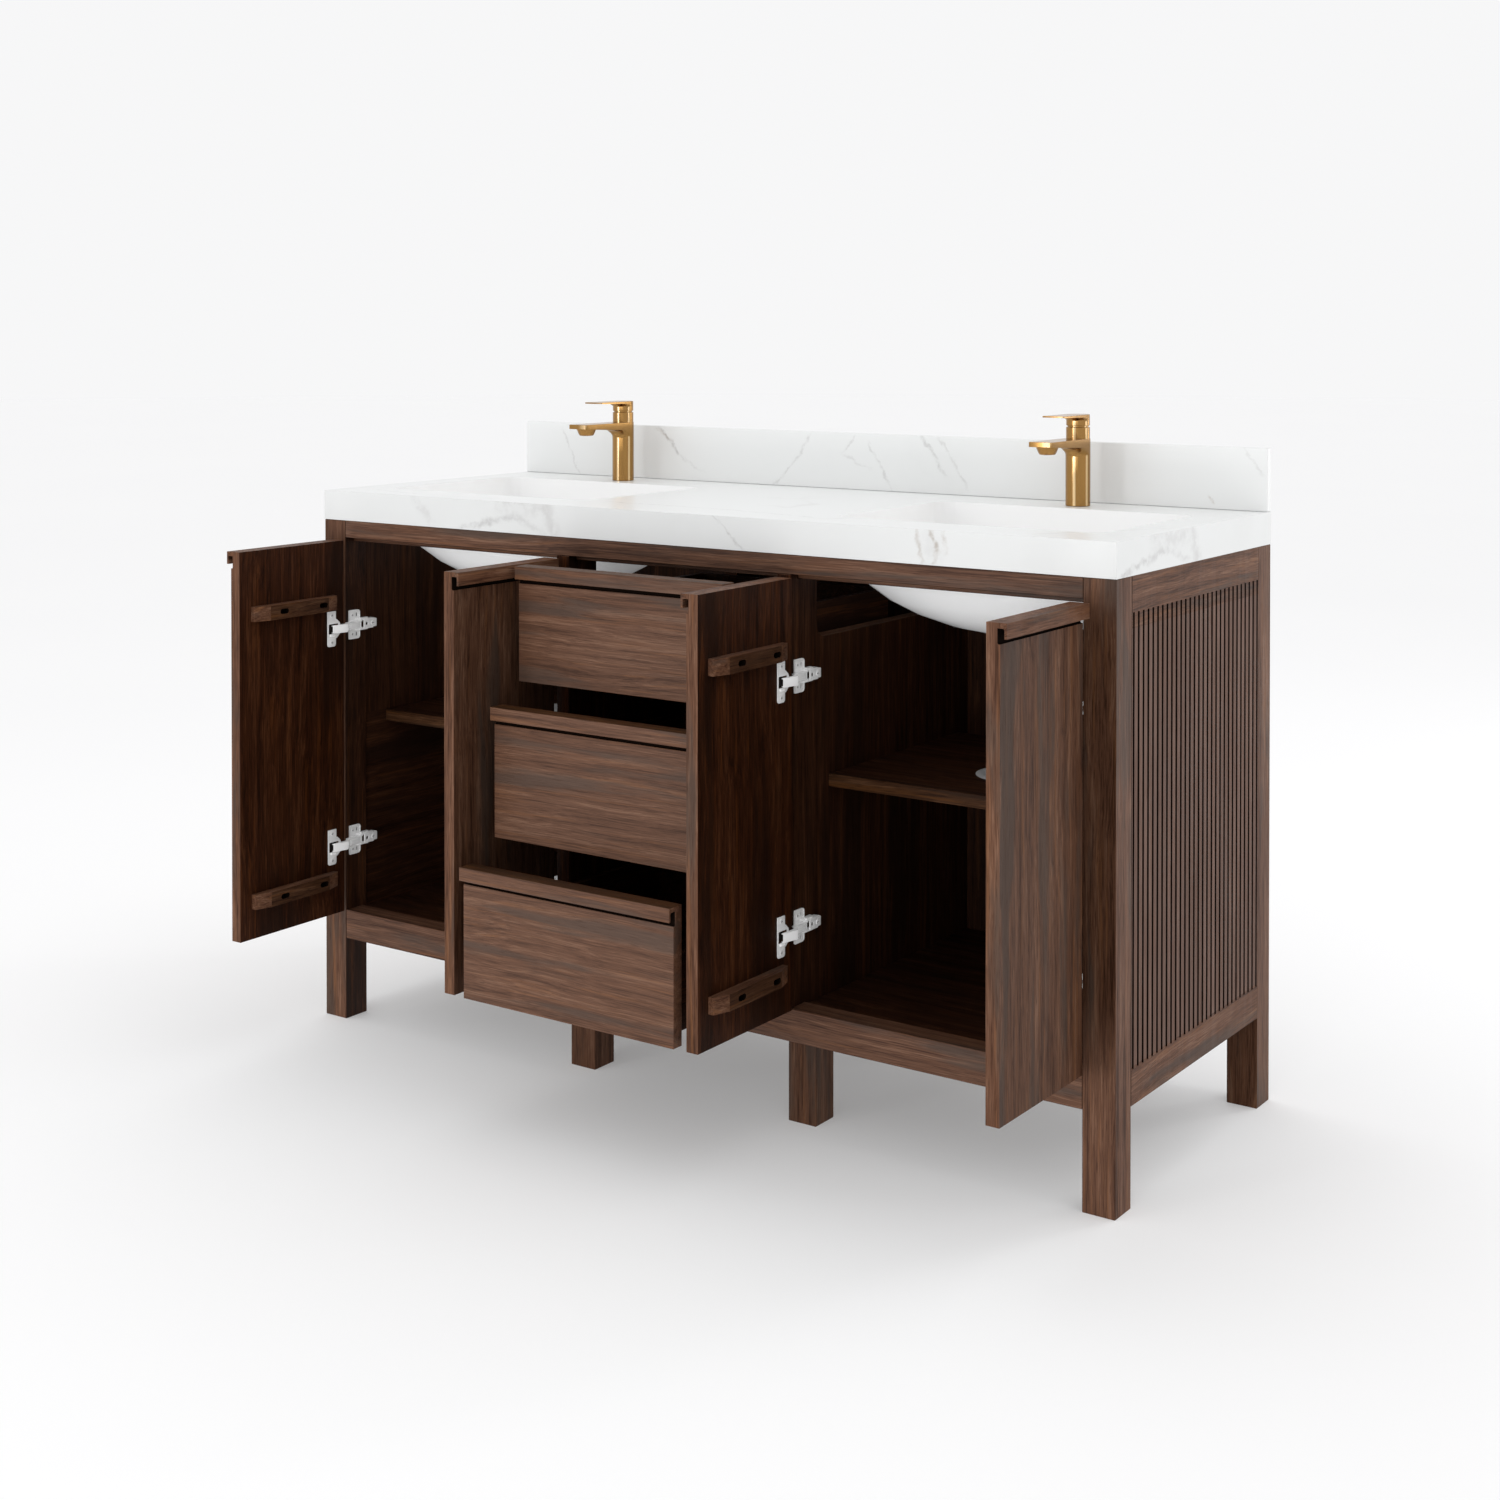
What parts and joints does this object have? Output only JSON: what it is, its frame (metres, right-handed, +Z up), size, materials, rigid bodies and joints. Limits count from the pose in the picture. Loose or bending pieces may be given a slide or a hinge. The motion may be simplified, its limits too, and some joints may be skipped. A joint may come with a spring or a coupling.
{
  "type": "bathroom vanity cabinet",
  "caption": "Double-sink bathroom vanity with slatted sides, J-pull doors and drawers that open, undermount bowls and lever taps.",
  "frame": {"origin": "centre of the footprint on the floor, with the drawers and doors as stored (open)", "axes": "+X along the width to the right seen from the front, the doors face -Y, +Z up"},
  "size_m": [1.524, 0.8206, 1.075],
  "materials": {
    "walnut": "satin veneer",
    "walnut_inside": "satin veneer, darker",
    "marble": "polished white stone with soft grey and gold veins",
    "ceramic": "glazed",
    "brushed_gold": "brushed",
    "nickel": "bright nickel"
  },
  "bodies": {
    "carcass": {"back_panel": "walnut_inside", "backsplash": "marble", "divider_left": "walnut", "divider_right": "walnut", "floor_panel": "walnut_inside", "hinge_arm_1_lower": "nickel", "hinge_arm_1_upper": "nickel", "hinge_arm_2_lower": "nickel", "hinge_arm_2_upper": "nickel", "hinge_arm_3_lower": "nickel", "hinge_arm_3_upper": "nickel", "hinge_arm_4_lower": "nickel", "hinge_arm_4_upper": "nickel", "leg_mid_front_left": "walnut", "leg_mid_front_right": "walnut", "leg_mid_rear_left": "walnut", "leg_mid_rear_right": "walnut", "post_front_left": "walnut", "post_front_right": "walnut", "post_rear_left": "walnut", "post_rear_right": "walnut", "rail_front_bottom": "walnut", "rail_front_top": "walnut", "shelf_left": "walnut_inside", "shelf_right": "walnut_inside", "side_panel_left": "walnut_inside", "side_panel_right": "walnut_inside", "side_screen_left": "walnut", "side_screen_right": "walnut", "sink_bowl_left": "ceramic", "sink_bowl_right": "ceramic", "tap_body_left": "brushed_gold", "tap_body_right": "brushed_gold", "waste_left": "brushed_gold", "waste_right": "brushed_gold", "worktop": "marble"},
    "door_leaf_1": {"door_1": "walnut"},
    "hinge_links_1": {"hinge_link_1_lower": "nickel", "hinge_link_1_upper": "nickel"},
    "door_leaf_2": {"door_2": "walnut"},
    "hinge_links_2": {"hinge_link_2_lower": "nickel", "hinge_link_2_upper": "nickel"},
    "door_leaf_3": {"door_3": "walnut"},
    "hinge_links_3": {"hinge_link_3_lower": "nickel", "hinge_link_3_upper": "nickel"},
    "door_leaf_4": {"door_4": "walnut"},
    "hinge_links_4": {"hinge_link_4_lower": "nickel", "hinge_link_4_upper": "nickel"},
    "drawer_top": {"drawer_front_top": "walnut", "drawer_box_top": "walnut_inside"},
    "drawer_middle": {"drawer_front_middle": "walnut", "drawer_box_middle": "walnut_inside"},
    "drawer_bottom": {"drawer_front_bottom": "walnut", "drawer_box_bottom": "walnut_inside"},
    "tap_swivel_left": {"tap_cartridge_left": "nickel"},
    "tap_handle_left": {"tap_lever_left": "brushed_gold"},
    "plug_left": {"stopper_left": "brushed_gold"},
    "tap_swivel_right": {"tap_cartridge_right": "nickel"},
    "tap_handle_right": {"tap_lever_right": "brushed_gold"},
    "plug_right": {"stopper_right": "brushed_gold"}
  },
  "joints": [
    {"name": "door_1_hinge", "type": "hinge", "parent": "carcass", "child": "door_leaf_1", "pos_m": [-0.7218, -0.14815, 0.52], "axis": [0, 0, -1], "range_deg": [-90, 0]},
    {"name": "hinge_links_1_turn", "type": "hinge", "parent": "carcass", "child": "hinge_links_1", "pos_m": [-0.7025, -0.11825, 0.5], "axis": [0, 0, -1], "range_deg": [-90, 0]},
    {"name": "door_2_hinge", "type": "hinge", "parent": "carcass", "child": "door_leaf_2", "pos_m": [-0.2187, -0.14815, 0.52], "axis": [0, 0, 1], "range_deg": [-90, 0]},
    {"name": "hinge_links_2_turn", "type": "hinge", "parent": "carcass", "child": "hinge_links_2", "pos_m": [-0.238, -0.11825, 0.5], "axis": [0, 0, 1], "range_deg": [-90, 0]},
    {"name": "door_3_hinge", "type": "hinge", "parent": "carcass", "child": "door_leaf_3", "pos_m": [0.2187, -0.14815, 0.52], "axis": [0, 0, -1], "range_deg": [-90, 0]},
    {"name": "hinge_links_3_turn", "type": "hinge", "parent": "carcass", "child": "hinge_links_3", "pos_m": [0.238, -0.11825, 0.5], "axis": [0, 0, -1], "range_deg": [-90, 0]},
    {"name": "door_4_hinge", "type": "hinge", "parent": "carcass", "child": "door_leaf_4", "pos_m": [0.7218, -0.14815, 0.52], "axis": [0, 0, 1], "range_deg": [-90, 0]},
    {"name": "hinge_links_4_turn", "type": "hinge", "parent": "carcass", "child": "hinge_links_4", "pos_m": [0.7025, -0.11825, 0.5], "axis": [0, 0, 1], "range_deg": [-90, 0]},
    {"name": "drawer_top_slide", "type": "slide", "parent": "carcass", "child": "drawer_top", "axis": [0, -1, 0], "range_m": [-0.1265, 0.2735]},
    {"name": "drawer_middle_slide", "type": "slide", "parent": "carcass", "child": "drawer_middle", "axis": [0, -1, 0], "range_m": [-0.184, 0.216]},
    {"name": "drawer_bottom_slide", "type": "slide", "parent": "carcass", "child": "drawer_bottom", "axis": [0, -1, 0], "range_m": [-0.2545, 0.1455]},
    {"name": "tap_left_swivel", "type": "hinge", "parent": "carcass", "child": "tap_swivel_left", "pos_m": [-0.468, 0.32875, 1.05], "axis": [0, 0, 1], "range_deg": [-40, 40]},
    {"name": "tap_left_lift", "type": "hinge", "parent": "tap_swivel_left", "child": "tap_handle_left", "pos_m": [-0.468, 0.34775, 1.0569], "axis": [-1, 0, 0], "range_deg": [0, 20]},
    {"name": "plug_left_lift", "type": "slide", "parent": "carcass", "child": "plug_left", "axis": [0, 0, 1], "range_m": [0, 0.01]},
    {"name": "tap_right_swivel", "type": "hinge", "parent": "carcass", "child": "tap_swivel_right", "pos_m": [0.468, 0.32875, 1.05], "axis": [0, 0, 1], "range_deg": [-40, 40]},
    {"name": "tap_right_lift", "type": "hinge", "parent": "tap_swivel_right", "child": "tap_handle_right", "pos_m": [0.468, 0.34775, 1.0569], "axis": [-1, 0, 0], "range_deg": [0, 20]},
    {"name": "plug_right_lift", "type": "slide", "parent": "carcass", "child": "plug_right", "axis": [0, 0, 1], "range_m": [0, 0.01]}
  ],
  "couplings": [
    {"joint": "hinge_links_1_turn", "follows": "door_1_hinge", "ratio": 1},
    {"joint": "hinge_links_2_turn", "follows": "door_2_hinge", "ratio": 1},
    {"joint": "hinge_links_3_turn", "follows": "door_3_hinge", "ratio": 1},
    {"joint": "hinge_links_4_turn", "follows": "door_4_hinge", "ratio": 1}
  ]
}
